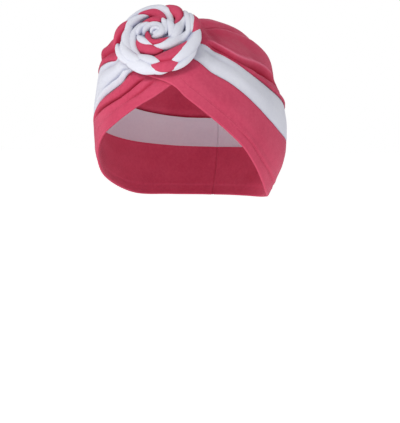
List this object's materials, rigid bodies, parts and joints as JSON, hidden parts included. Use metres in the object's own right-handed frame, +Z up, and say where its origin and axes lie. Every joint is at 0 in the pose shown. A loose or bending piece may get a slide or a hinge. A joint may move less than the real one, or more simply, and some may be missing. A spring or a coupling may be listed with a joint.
{
  "type": "turban headwrap",
  "caption": "Stretch jersey turban with a gathered crown, a contrast stripe round each side, crossed front bands and a coiled braid rosette at the front.",
  "frame": {"origin": "inner top of the crown, on the middle line, where the wearer's head holds the wrap up", "axes": "+Z up, the front and its rosette face -Y, the wearer's left is +X"},
  "size_m": [0.1614, 0.2073, 0.1668],
  "materials": {
    "pink_jersey": "matte cotton jersey knit, coral pink",
    "white_jersey": "matte cotton jersey knit, cool white"
  },
  "bodies": {
    "root": {"crown": "pink_jersey", "left_front_band": "pink_jersey", "right_front_band": "pink_jersey", "left_white_stripe": "white_jersey", "right_white_stripe": "white_jersey", "rosette_strand_pink": "pink_jersey", "rosette_strand_white_a": "white_jersey", "rosette_strand_white_b": "white_jersey"}
  },
  "joints": []
}
